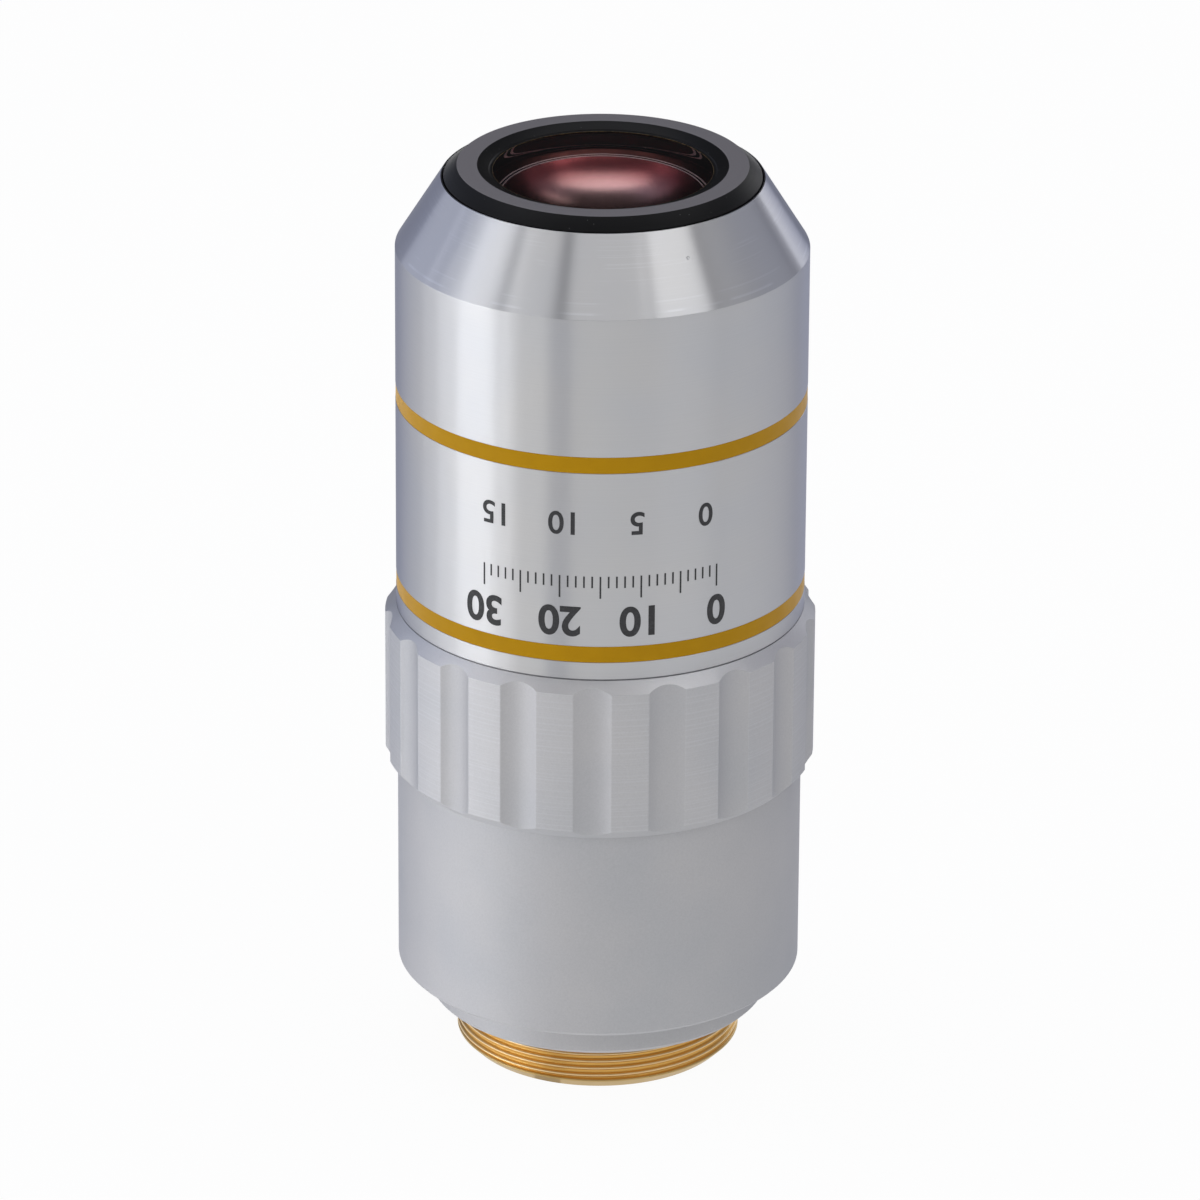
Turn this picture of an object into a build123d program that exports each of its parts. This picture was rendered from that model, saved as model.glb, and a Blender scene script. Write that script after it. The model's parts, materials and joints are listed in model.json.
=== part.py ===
from build123d import *
from math import cos, radians, sin, sqrt
import os

# Microscope objective for a metallurgical microscope, standing on its thread with the front lens up.
# Millimetres. The origin is the centre of the flat shoulder that meets the nosepiece.
# +Z runs along the optical axis towards the front lens, and -Y is the side that carries the print.

# Lengths along the axis, from the shoulder
front_height = 80.0          # shoulder to front face, 95 mm less the 15 mm working distance
thread_length = 4.8          # thread below the shoulder
flange_height = 3.25         # shoulder to the underside of the lower barrel
grip_seat_height = 23.0      # shoulder to the grip ring's seat
grip_height = 15.3
cone_length = 6.5
rim_height = 1.1             # front face above the sleeve's front edge

# Outside radii and walls
sleeve_radius = 18.4
lower_barrel_step = 0.1      # lower barrel inside the sleeve's radius
grip_wall = 2.07
thread_radius = 12.9         # over the thread's crests
shoulder_width = 2.1         # shoulder's edge outside the thread
sleeve_wall = 2.35
spigot_wall = 1.25
lens_barrel_wall = 2.4

# Clearances
slide_fit = 0.05             # lens barrel in housing and sleeve
thread_fit = 0.03            # screwed joints
cell_fit = 0.02              # cells in the lens barrel, glass in its cells
seat_gap = 0.02              # glass above the lip that holds it
cement = 0.01                # layer between cemented elements
end_gap = 0.10               # where two shoulders must not both touch

# Mounting thread
thread_wall = 2.5
lead_in = 0.85
thread_relief = 0.35         # undercut between the thread and the shoulder
bush_step = 0.9              # thread crest to the bush's spigot
bush_spigot_length = 5.0
bore_chamfer = 0.5

# Rear housing
mouth_step = 0.13            # mouth of the housing outside the thread's crests
shoulder_chamfer = 0.4
lower_edge_break = 0.3
floor_thickness = 0.7        # ledge between the bush and the stop
floor_relief = 0.5           # ledge's bore outside the bush's bore
stop_recess = 0.8
spigot_reach = 5.7           # spigot above the grip ring, inside the sleeve

# Grip ring
grip_chamfer = 1.0
flute_count = 18
flute_angle = 10.0           # width of one flute, seen from the axis
flute_depth = 0.5
flute_phase = -91.9          # first flute, from +X

# Front sleeve
foot_relief = 0.15
front_land = 0.15            # narrow flat at the sleeve's front edge
sleeve_front_wall = 5.9      # depth of the small front hole
band_width = 1.54
band_foot_gap = 1.73         # grip ring to the lower colour band
band_pitch = 18.01           # from one band to the other
groove_depth = 0.2
enamel_drop = 0.02           # enamel below the barrel's surface

# Front cell
cell_seat = 0.52             # rim outside the skirt, which rests on the lens barrel
rim_bevel_width = 1.2
rim_bevel_drop = 1.0
face_width = 1.73
inner_bevel_width = 1.27
inner_bevel_drop = 0.43
front_lip = 0.12
front_lens_seat = 0.6
second_lens_wall = 2.03
lock_ring_length = 1.3
lock_ring_width = 1.35
skirt_overhang = 1.4         # skirt beyond the second lens

# Cells, spacers and small inner pieces
glass_setback = 1.0          # cell front to the glass
glass_guard = 0.8            # glass to the cell's rear face
lip_width = 0.9
spacer_wall = 2.2
spacer_one_share = 0.16      # share of the air between the groups that is ahead of the triplet
shim_thickness = 0.3
shim_width = 3.5
shim_margin = 0.6            # shim's bore outside the lens barrel's boss
stop_seat = 1.5              # stop outside the bush's bore
stop_width = 3.5             # leaves a pupil of 8.4, focal length 20 times aperture 0.42
stop_edge = 0.8              # bevel behind the stop's sharp edge
barrel_lip_margin = 0.9      # lens barrel's rear lip outside the pupil
barrel_lip_length = 2.0
centring_play = 0.3
screw_radius = 1.0
screw_recess = 0.4
screw_count = 3

# Glass. Curves are counted in edge radii of their own group. A positive one bulges to the front,
# a negative one to the thread. Thin is the thickness of an element where it is thinnest.
front_lens_curves = (14.3, -1.67)
front_lens_thin = 6.0
front_air_gap = 0.4
second_lens_curves = (-6.06, -2.08)
second_lens_thin = 2.2
first_doublet_curves = (3.69, -2.13, -5.74)
first_doublet_thin = (1.9, 2.4)
first_doublet_wall = 1.38
triplet_curves = (4.51, 1.97, -1.97, -6.56)
triplet_thin = (1.8, 2.3, 2.0)
triplet_wall = 1.38
second_doublet_curves = (2.48, -3.01, 3.54)
second_doublet_thin = (1.5, 1.8)
second_doublet_wall = 2.28
rear_pair_curves = (-2.29, 1.88, -6.25)
rear_pair_thin = (1.6, 1.1)
rear_pair_wall = 3.98

# Sizes that follow, from the outside in
sleeve_bore = sleeve_radius - sleeve_wall
lens_barrel_radius = sleeve_bore - slide_fit
spigot_radius = sleeve_bore + spigot_wall
lens_barrel_bore = lens_barrel_radius - lens_barrel_wall
cell_radius = lens_barrel_bore - cell_fit
rim_radius = cell_radius + cell_seat
front_hole = rim_radius + end_gap
face_radius = rim_radius - rim_bevel_width
face_bore = face_radius - face_width
opening_radius = face_bore - inner_bevel_width
front_lens_radius = opening_radius + front_lens_seat
second_lens_radius = cell_radius - second_lens_wall
lower_barrel_radius = sleeve_radius - lower_barrel_step
grip_radius = spigot_radius + thread_fit + grip_wall
shoulder_radius = thread_radius + shoulder_width
flange_radius = shoulder_radius + shoulder_chamfer
bush_bore = thread_radius - thread_wall
bush_spigot_radius = thread_radius - bush_step
floor_bore = bush_bore + floor_relief
stop_radius = bush_bore + stop_seat
pupil_radius = stop_radius - stop_width
barrel_lip = pupil_radius + barrel_lip_margin
shim_bore = lens_barrel_radius - shim_width
boss_radius = shim_bore - shim_margin

# Heights that follow
floor_height = bush_spigot_length + floor_thickness + stop_recess
grip_top = grip_seat_height + grip_height
spigot_top = grip_top + spigot_reach
band_heights = (grip_top + band_foot_gap, grip_top + band_foot_gap + band_pitch)
sleeve_front = front_height - rim_height
cone_foot = sleeve_front - cone_length
sleeve_shoulder = sleeve_front - sleeve_front_wall
lens_barrel_front = sleeve_shoulder - end_gap
lens_barrel_rear = floor_height + shim_thickness
barrel_lip_top = lens_barrel_rear + barrel_lip_length


def drop(curve, r):
    """Fall of a spherical surface from its middle to the distance r, towards the thread."""
    if curve > 0:
        return curve - sqrt(curve ** 2 - r ** 2)
    return curve + sqrt(curve ** 2 - r ** 2)


def turned(*outline):
    """Solid of revolution about Z, from a closed outline of (radius, height) points."""
    points = [(r, 0, z) for r, z in outline]
    return revolve(make_face(Polyline(*points, close=True)), axis=Axis.Z)


def ring(inner, outer, low, high):
    """Plain ring with a square section."""
    return turned((inner, low), (outer, low), (outer, high), (inner, high))


def element(front, rear, vertex, middle, edge_radius):
    """One glass element: two spherical faces and a ground edge."""
    def point(curve, height, r):
        return (r, 0, height - drop(curve, r))

    back = vertex - middle
    front_arc = ThreePointArc(point(front, vertex, 0), point(front, vertex, edge_radius / 2),
                              point(front, vertex, edge_radius))
    rear_arc = ThreePointArc(point(rear, back, edge_radius), point(rear, back, edge_radius / 2),
                             point(rear, back, 0))
    edge = Line(front_arc @ 1, rear_arc @ 0)
    axis_line = Line(rear_arc @ 1, front_arc @ 0)
    return revolve(make_face([front_arc, edge, rear_arc, axis_line]), axis=Axis.Z)


def glass_stack(curves, thin, edge_radius, top):
    """Cemented elements below the height top, and the height of the last vertex."""
    radii = [curve * edge_radius for curve in curves]
    vertex = top + min(0, drop(radii[0], edge_radius))
    pieces = []
    for front, rear, least in zip(radii, radii[1:], thin):
        middle = least + max(0, drop(front, edge_radius) - drop(rear, edge_radius))
        pieces.append(element(front, rear, vertex, middle, edge_radius))
        vertex -= middle + cement
    return pieces, vertex + cement


def seat_height(curve, vertex, edge_radius, seat_radius):
    """Height at which a flat ledge, open inside seat_radius, stops the glass above it."""
    radius = curve * edge_radius
    return vertex - max(drop(radius, seat_radius), drop(radius, edge_radius)) - seat_gap


def cell(outer, glass_radius, seat, top, bottom):
    """Turned lens cell: a bore for the glass, and a lip that flares to the rear."""
    bore = glass_radius + cell_fit
    lip = glass_radius - lip_width
    return turned((bore, top), (bore, seat), (lip, seat), (lip + lip_width / 2, bottom),
                  (outer, bottom), (outer, top))


def mounting_thread():
    """Brass bush, screwed home against the housing's floor. Its crest cylinder stands for the thread."""
    tip = -thread_length
    return turned((bush_bore, tip + bore_chamfer), (bush_bore + bore_chamfer, tip),
                  (thread_radius - lead_in, tip), (thread_radius, tip + lead_in),
                  (thread_radius, -thread_relief), (bush_spigot_radius, -thread_relief),
                  (bush_spigot_radius, bush_spigot_length), (bush_bore, bush_spigot_length))


def rear_housing():
    """Lower barrel, stepped flange, shoulder, and the spigot that carries the ring and the sleeve."""
    bush_hole = bush_spigot_radius + thread_fit
    mouth = thread_radius + mouth_step
    recess = stop_radius + cell_fit
    return turned((bush_hole, mouth - bush_hole), (mouth, 0), (shoulder_radius, 0),
                  (flange_radius, shoulder_chamfer),
                  (flange_radius, flange_height), (lower_barrel_radius - lower_edge_break, flange_height),
                  (lower_barrel_radius, flange_height + lower_edge_break),
                  (lower_barrel_radius, grip_seat_height), (spigot_radius, grip_seat_height),
                  (spigot_radius, spigot_top), (sleeve_bore, spigot_top), (sleeve_bore, floor_height),
                  (recess, floor_height), (recess, floor_height - stop_recess),
                  (floor_bore, floor_height - stop_recess), (floor_bore, bush_spigot_length),
                  (bush_hole, bush_spigot_length))


def grip_ring():
    """Fluted ring. Round-bottomed flutes run straight through both chamfers."""
    bore = spigot_radius + thread_fit
    blank = turned((bore, grip_seat_height), (grip_radius - grip_chamfer, grip_seat_height),
                   (grip_radius, grip_seat_height + grip_chamfer), (grip_radius, grip_top - grip_chamfer),
                   (grip_radius - grip_chamfer, grip_top), (bore, grip_top))
    half_width = grip_radius * sin(radians(flute_angle / 2))
    depth = flute_depth - grip_radius * (1 - cos(radians(flute_angle / 2)))
    cutter_radius = (half_width ** 2 + depth ** 2) / (2 * depth)
    cutter = Cylinder(cutter_radius, 2 * grip_height)
    reach = grip_radius - flute_depth + cutter_radius
    places = PolarLocations(reach, flute_count, start_angle=flute_phase)
    middle = Pos(0, 0, grip_seat_height + grip_height / 2)
    return blank - [middle * place * cutter for place in places]


def front_sleeve():
    """Upper barrel and cone, with a shallow groove for each colour band."""
    counterbore = spigot_radius + thread_fit
    floor = sleeve_radius - groove_depth
    outline = [(counterbore, grip_top), (sleeve_radius - foot_relief, grip_top),
               (sleeve_radius, grip_top + foot_relief)]
    for low in band_heights:
        high = low + band_width
        outline += [(sleeve_radius, low), (floor, low), (floor, high), (sleeve_radius, high)]
    outline += [(sleeve_radius, cone_foot), (front_hole + front_land, sleeve_front),
                (front_hole, sleeve_front), (front_hole, sleeve_shoulder), (sleeve_bore, sleeve_shoulder),
                (sleeve_bore, spigot_top + end_gap), (counterbore, spigot_top + end_gap)]
    return turned(*outline)


def colour_band(low):
    """Enamel that fills one groove of the sleeve."""
    floor = sleeve_radius - groove_depth
    return ring(floor + cement, sleeve_radius - enamel_drop, low + cement, low + band_width - cement)


def lens_barrel():
    """Inner tube that lines up the cells, with a rear lip under the stack and a hole for each screw."""
    tube = turned((barrel_lip, floor_height), (boss_radius, floor_height), (boss_radius, lens_barrel_rear),
                  (lens_barrel_radius, lens_barrel_rear), (lens_barrel_radius, lens_barrel_front),
                  (lens_barrel_bore, lens_barrel_front), (lens_barrel_bore, barrel_lip_top),
                  (barrel_lip, barrel_lip_top))
    return tube - screw_row(0, lens_barrel_radius + lens_barrel_wall, screw_radius + thread_fit)


def screw_row(start, end, radius):
    """Radial cylinders between two distances from the axis, one for each centring screw."""
    rod = Cylinder(radius, end - start)
    turns = [Rot(0, 0, 360 * k / screw_count) for k in range(screw_count)]
    out = Pos((start + end) / 2, 0, screw_height) * Rot(0, 90, 0)
    return [turn * out * rod for turn in turns]


def centring_screws():
    """Three set screws that hold the second doublet's cell sideways."""
    tip = cell_radius - centring_play + seat_gap
    return Compound(screw_row(tip, lens_barrel_radius - screw_recess, screw_radius))


def front_cell():
    """Black ring at the front. It holds the first two lenses and screws into the lens barrel."""
    rim_foot = front_height - rim_bevel_drop
    lip_foot = front_height - inner_bevel_drop
    first_bore = front_lens_radius + cell_fit
    second_bore = second_lens_radius + cell_fit
    return turned((opening_radius, lip_foot), (face_bore, front_height), (face_radius, front_height),
                  (rim_radius, rim_foot), (rim_radius, lens_barrel_front), (cell_radius, lens_barrel_front),
                  (cell_radius, skirt_end), (second_bore, skirt_end), (second_bore, second_step),
                  (first_bore, second_step), (first_bore, front_seat), (opening_radius, front_seat))


def lock_ring(glass_radius, curve, vertex):
    """Threaded ring that holds a lens of the front cell from behind."""
    outer = glass_radius + cell_fit - thread_fit
    inner = glass_radius - lock_ring_width
    top = seat_height(curve, vertex, glass_radius, inner)
    return ring(inner, outer, top - lock_ring_length, top)


def spacer(top, bottom):
    """Tube that sets an air gap between two cells."""
    return ring(cell_radius - spacer_wall, cell_radius, bottom, top)


def group(curves, thin, wall, play=0):
    """One cemented group with its cell last, hung below zero, and the cell's length."""
    glass_radius = cell_radius - wall
    pieces, last = glass_stack(curves, thin, glass_radius, -glass_setback)
    seat = seat_height(curves[-1], last, glass_radius, glass_radius - lip_width)
    length = glass_guard - min(last, seat)
    pieces.append(cell(cell_radius - play, glass_radius, seat, 0, -length))
    return pieces, length


def place(pieces, names, height):
    """Lifts a group to its height, and names its pieces."""
    for piece, name in zip(pieces, names):
        parts[name] = Pos(0, 0, height) * piece


def rear_stop():
    """Thin disc whose sharp-edged hole is the exit pupil."""
    low = floor_height - stop_recess
    return turned((pupil_radius, floor_height), (stop_radius, floor_height), (stop_radius, low),
                  (pupil_radius + stop_edge, low))


def parfocal_shim():
    """Thin ring that sets the distance from the shoulder to the focus."""
    return ring(shim_bore, lens_barrel_radius, floor_height, lens_barrel_rear)


parts = {}

# Front cell with its two lenses. The first one's bulging face rises into the opening.
front_seat = front_height - inner_bevel_drop - front_lip
front_lens_top = front_seat - seat_gap + drop(front_lens_curves[0] * front_lens_radius, opening_radius)
(parts["front_lens"],), first_vertex = glass_stack(
    front_lens_curves, (front_lens_thin,), front_lens_radius, front_lens_top)
second_vertex = first_vertex - front_air_gap
second_hollow = -min(0, drop(second_lens_curves[0] * second_lens_radius, second_lens_radius))
second_top = second_vertex + second_hollow
second_step = second_top + seat_gap
(parts["second_lens"],), last_vertex = glass_stack(
    second_lens_curves, (second_lens_thin,), second_lens_radius, second_top)
skirt_end = last_vertex - skirt_overhang
parts["front_cell"] = front_cell()
parts["front_lock_ring"] = lock_ring(front_lens_radius, front_lens_curves[-1], first_vertex)
parts["second_lock_ring"] = lock_ring(second_lens_radius, second_lens_curves[-1], last_vertex)

# Groups behind it. Two hang from the front cell, two stand on the lens barrel's rear lip,
# and two spacers share the room that is left.
first_doublet, first_doublet_length = group(first_doublet_curves, first_doublet_thin, first_doublet_wall)
triplet, triplet_length = group(triplet_curves, triplet_thin, triplet_wall)
second_doublet, second_doublet_length = group(second_doublet_curves, second_doublet_thin,
                                              second_doublet_wall, centring_play)
rear_pair, rear_pair_length = group(rear_pair_curves, rear_pair_thin, rear_pair_wall)
rear_pair_top = barrel_lip_top + rear_pair_length
second_doublet_top = rear_pair_top + second_doublet_length
screw_height = rear_pair_top + second_doublet_length / 2
first_doublet_end = skirt_end - first_doublet_length
room = first_doublet_end - triplet_length - second_doublet_top
triplet_top = first_doublet_end - spacer_one_share * room
triplet_end = triplet_top - triplet_length
place(first_doublet, ("first_doublet_crown", "first_doublet_flint", "first_doublet_cell"), skirt_end)
parts["spacer_one"] = spacer(first_doublet_end, triplet_top)
place(triplet, ("triplet_front_flint", "triplet_fluorite", "triplet_rear_flint", "triplet_cell"), triplet_top)
parts["spacer_two"] = spacer(triplet_end, second_doublet_top)
place(second_doublet, ("second_doublet_crown", "second_doublet_flint", "second_doublet_cell"),
      second_doublet_top)
place(rear_pair, ("rear_pair_negative", "rear_pair_positive", "rear_pair_cell"), rear_pair_top)

# Barrel, housing and the pieces seen from outside
parts["lens_barrel"] = lens_barrel()
parts["centring_screws"] = centring_screws()
parts["parfocal_shim"] = parfocal_shim()
parts["rear_stop"] = rear_stop()
parts["mounting_thread"] = mounting_thread()
parts["rear_housing"] = rear_housing()
parts["grip_ring"] = grip_ring()
parts["front_sleeve"] = front_sleeve()
for name, low in zip(("lower_colour_band", "upper_colour_band"), band_heights):
    parts[name] = colour_band(low)

os.makedirs("parts", exist_ok=True)
for name, part in parts.items():
    export_step(part, f"parts/{name}.step")
print("room for the spacers", round(room, 3), "mm, grip ring radius", round(grip_radius, 3))
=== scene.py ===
import bmesh
import bpy
import json
from math import cos, pi, radians, sin, sqrt, tan
from mathutils import Matrix, Vector


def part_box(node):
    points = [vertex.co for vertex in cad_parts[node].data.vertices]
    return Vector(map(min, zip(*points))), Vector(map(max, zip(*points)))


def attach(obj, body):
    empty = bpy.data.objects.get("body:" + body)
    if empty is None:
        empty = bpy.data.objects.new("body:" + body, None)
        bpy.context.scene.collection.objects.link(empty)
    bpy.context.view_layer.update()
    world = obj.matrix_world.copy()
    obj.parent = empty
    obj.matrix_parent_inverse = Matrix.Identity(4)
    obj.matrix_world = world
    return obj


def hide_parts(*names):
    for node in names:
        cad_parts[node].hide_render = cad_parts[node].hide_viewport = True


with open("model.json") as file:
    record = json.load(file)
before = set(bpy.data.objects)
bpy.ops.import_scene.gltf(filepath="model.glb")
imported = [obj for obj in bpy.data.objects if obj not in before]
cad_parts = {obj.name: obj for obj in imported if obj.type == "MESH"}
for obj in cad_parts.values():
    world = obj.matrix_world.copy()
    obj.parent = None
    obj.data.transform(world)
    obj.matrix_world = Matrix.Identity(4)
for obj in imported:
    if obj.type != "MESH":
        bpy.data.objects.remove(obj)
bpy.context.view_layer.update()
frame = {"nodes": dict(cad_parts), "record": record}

from types import SimpleNamespace

# Microscope objective on its thread, front lens up. Sizes are in millimetres, turned into metres
# where vertices are made. Z is the optical axis and -Y is the printed side.

mm = 0.001


def span(node):
    # lowest height, highest height and outside radius of a CAD node
    low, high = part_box(node)
    return SimpleNamespace(low=low[2] / mm, high=high[2] / mm, radius=high[0] / mm)


thread = span("mounting_thread")
ring = span("grip_ring")
sleeve = span("front_sleeve")
stop = span("rear_stop")
cell = span("front_cell")
barrel = span("lens_barrel")
frontLens = span("front_lens")
secondLens = span("second_lens")

# lengths that both a finish and a piece need
coneLength = 6.5
ringChamfer = 1.0


# Shader sockets that can be added, subtracted and multiplied like numbers

class Signal:
    def __init__(self, finish, socket):
        self.finish = finish
        self.socket = socket

    def math(self, operation, *values):
        return self.finish.node("ShaderNodeMath", {"operation": operation}, dict(enumerate(values)))

    def __add__(self, other):
        return self.math("ADD", self, other)

    def __sub__(self, other):
        return self.math("SUBTRACT", self, other)

    def __rsub__(self, other):
        return self.math("SUBTRACT", other, self)

    def __mul__(self, other):
        return self.math("MULTIPLY", self, other)

    def __neg__(self):
        return self.math("MULTIPLY", self, -1.0)

    __radd__ = __add__


class Finish:
    # a material, or the studio round the object, built node by node
    def __init__(self, name, owners=bpy.data.materials):
        self.owner = owners.new(name)
        self.owner.use_nodes = True
        self.nodes = self.owner.node_tree.nodes
        self.links = self.owner.node_tree.links
        self.nodes.clear()

    def node(self, kind, settings=None, sockets=None, output=0):
        made = self.nodes.new(kind)
        for key, value in (settings or {}).items():
            setattr(made, key, value)
        for key, value in (sockets or {}).items():
            if isinstance(value, Signal):
                self.links.new(value.socket, made.inputs[key])
            else:
                made.inputs[key].default_value = value
        return Signal(self, made.outputs[output]) if made.outputs else made

    def outputs(self, signal, *names):
        # more outputs of the node behind a signal
        return [Signal(self, signal.socket.node.outputs[name]) for name in names]

    def axes(self, vector, *names):
        return self.outputs(self.node("ShaderNodeSeparateXYZ", {}, {0: vector}), *names)

    def place(self):
        # object coordinates in millimetres
        coords = self.node("ShaderNodeTexCoord", output="Object")
        return self.node("ShaderNodeVectorMath", {"operation": "SCALE"}, {0: coords, "Scale": 1 / mm})

    def shape(self):
        # the place, its height and its distance from the axis
        place = self.place()
        x, y, z = self.axes(place, "X", "Y", "Z")
        return place, z, self.node("ShaderNodeMath", {"operation": "SQRT"}, {0: x * x + y * y})

    def blend(self, amount, first, second):
        # Mix node, whose colours are inputs 6 and 7 and output 2
        return self.node("ShaderNodeMix", {"data_type": "RGBA"}, {0: amount, 6: first, 7: second}, 2)

    def step(self, value, low, high):
        # 0 at low and 1 at high, smooth between them; low may be the larger one
        return self.node("ShaderNodeMapRange", {"interpolation_type": "SMOOTHSTEP"},
                         {"Value": value, "From Min": low, "From Max": high})

    def band(self, value, low, high, soft):
        # 1 between low and high
        return self.step(value, low - soft, low) * self.step(value, high + soft, high)

    def lines(self, along, perMm, detail=2.0):
        # fine random lines across one coordinate
        return self.node("ShaderNodeTexNoise", {"noise_dimensions": "1D"},
                         {"W": along * perMm, "Scale": 1.0, "Detail": detail, "Roughness": 0.6})

    def grain(self, place, perMm, detail=2.0):
        # cloudy pattern through the whole piece
        return self.node("ShaderNodeTexNoise", {"noise_dimensions": "3D"},
                         {"Vector": place, "Scale": perMm, "Detail": detail, "Roughness": 0.55})

    def tone(self, place, look):
        # slow change between the two tones of a chromed piece
        clouds = self.grain(place, look["cloudsPerMm"])
        return self.blend(self.step(clouds, *look["cloudRange"]), look["colour"], look["cool"])

    def bump(self, height, depth, under=None):
        # depth in millimetres, laid over another bump
        sockets = {"Height": height, "Distance": depth * mm, "Strength": 1.0}
        if under:
            sockets["Normal"] = under
        return self.node("ShaderNodeBump", {}, sockets)

    def surface(self, sockets):
        shader = self.node("ShaderNodeBsdfPrincipled", {}, sockets)
        self.node("ShaderNodeOutputMaterial", {}, {"Surface": shader})
        return self.owner

    def brushed(self, look, sockets):
        # metal whose reflections run along the axis, as turning marks make them
        return self.surface({
            "Metallic": 1.0,
            "Specular Tint": look["edgeTint"],
            "Anisotropic": look["streak"],
            "Anisotropic Rotation": 0.25,
            **sockets,
        })


# Finishes. A spread is how far the roughness wanders, and a share is how strongly a tone shows.

satinChrome = {
    "colour": (0.575, 0.572, 0.572, 1),
    "cool": (0.55, 0.557, 0.575, 1),
    "cloudsPerMm": 0.08,
    "cloudRange": (0.3, 0.75),
    "edgeTint": (0.40, 0.42, 0.53, 1),
    "roughness": 0.31,
    "spread": 0.08,
    "streak": 1.0,
    "linesPerMm": 7.0,
    "lineDepth": 0.0030,
    "lineColour": (0.42, 0.42, 0.43, 1),
    "lineShare": 0.18,
    "coneRoughness": -0.03,
    "coneQuiet": 0.85,           # the cone is turned finer than the barrel
    "coneSoft": 0.1,
    "ringsPerMm": 4.0,           # coarser turning marks on the cone
    "ringDepth": 0.0015,
    "markColour": (0.72, 0.73, 0.76, 1),
    "markRange": (0.5, 0.75),
    "markShare": 0.4,
    "patchesPerMm": 0.22,        # the marks show in patches
    "patchRange": (0.47, 0.62),
    "nick": (7.45, -13.95, 76.6),
    "nickSize": 0.17,
    "nickDepth": 0.08,
}


def makeSatinChrome(name, look, coneFoot):
    finish = Finish(name)
    place, z, radius = finish.shape()
    fine = finish.lines(z + radius, look["linesPerMm"])
    cone = finish.step(z, coneFoot, coneFoot + look["coneSoft"])
    fine = 0.5 + (fine - 0.5) * (1 - cone * look["coneQuiet"])
    rings = finish.lines(z, look["ringsPerMm"]) * cone
    shade = finish.blend(fine * look["lineShare"], finish.tone(place, look), look["lineColour"])
    patches = finish.step(finish.grain(place, look["patchesPerMm"]), *look["patchRange"])
    marks = finish.step(rings, *look["markRange"]) * patches
    shade = finish.blend(marks * look["markShare"], shade, look["markColour"])
    rough = look["roughness"] + (fine - 0.5) * look["spread"] + cone * look["coneRoughness"]
    away = finish.node("ShaderNodeVectorMath", {"operation": "DISTANCE"},
                       {0: place, 1: look["nick"]}, "Value")
    nick = finish.step(away, look["nickSize"], look["nickSize"] / 2)
    dented = finish.bump(-nick, look["nickDepth"], under=finish.bump(rings, look["ringDepth"]))
    return finish.brushed(look, {
        "Base Color": shade,
        "Roughness": rough,
        "Normal": finish.bump(fine, look["lineDepth"], under=dented),
    })


matteChrome = {
    "colour": (0.62, 0.615, 0.62, 1),
    "cool": (0.575, 0.58, 0.595, 1),
    "cloudsPerMm": 0.08,
    "cloudRange": (0.3, 0.75),
    "edgeTint": (0.42, 0.44, 0.52, 1),
    "roughness": 0.72,
    "spread": 0.12,
    "streak": 0.45,
    "grainPerMm": 6.0,
    "grainDepth": 0.005,
    "grainColour": (0.40, 0.40, 0.41, 1),
    "grainShare": 0.15,
    "landsPerMm": 5.0,           # turned lines on the grip ring's lands
    "landDepth": 0.014,
    "landColour": (0.72, 0.73, 0.76, 1),
    "landRange": (0.45, 0.7),
    "landShare": 0.22,
    "landRoughness": -0.06,
    "landEdge": (0.03, 0.01),    # where a land begins, inside the ring's radius
    "chamferRoughness": -0.22,   # turned bright, like the cone
    "chamferTilt": (0.4, 0.6),
    "chamferSoft": 0.05,
}


def makeMatteChrome(name, look):
    finish = Finish(name)
    place, z, radius = finish.shape()
    normal = finish.node("ShaderNodeNewGeometry", output="Normal")
    upward, = finish.axes(normal, "Z")
    chamferFoot = ring.high - ringChamfer
    chamfer = finish.step(z, chamferFoot - look["chamferSoft"], chamferFoot)
    chamfer = finish.step(upward, *look["chamferTilt"]) * chamfer
    blasted = finish.grain(place, look["grainPerMm"], detail=3.0)
    turnedLines = finish.lines(z, look["landsPerMm"], detail=3.0)
    land = finish.step(radius, *[ring.radius - inside for inside in look["landEdge"]])
    shade = finish.blend(blasted * look["grainShare"], finish.tone(place, look), look["grainColour"])
    bright = finish.step(turnedLines, *look["landRange"]) * land
    shade = finish.blend(bright * look["landShare"], shade, look["landColour"])
    rough = look["roughness"] + (blasted - 0.5) * look["spread"] + land * look["landRoughness"]
    grained = finish.bump(blasted, look["grainDepth"])
    return finish.brushed(look, {
        "Base Color": shade,
        "Roughness": rough + chamfer * look["chamferRoughness"],
        "Normal": finish.bump(turnedLines * land, look["landDepth"], under=grained),
    })


blackAnodised = {
    "colour": (0.006, 0.006, 0.0065, 1),
    "face": (0.155, 0.149, 0.160, 1),      # the flat front face is blasted and greyer, its grey partly a painted sheen
    "faceDepths": (0.03, 0.01),
    "faceMottle": (0.85, 0.3),             # least share of its colour, and how much the grain adds
    "dust": (0.20, 0.20, 0.20, 1),
    "dustPerMm": 1.6,
    "dustSize": (0.06, 0.03),
    "dustShare": 0.7,
    "wearAndGlint": (0.17, 0.12, 0.06, 1),         # painted gold glint along the lip's edge
    "glintRadius": 9.79,
    "glintWidth": 0.03,
    "wearAndGlintRange": (0.35, 0.6),
    "roughness": 0.36,
    "faceRoughness": 0.5,
    "spread": 0.12,
    "shine": 0.09,
    "linesPerMm": 9.0,
    "grainPerMm": 7.0,
    "depth": 0.002,
}


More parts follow.
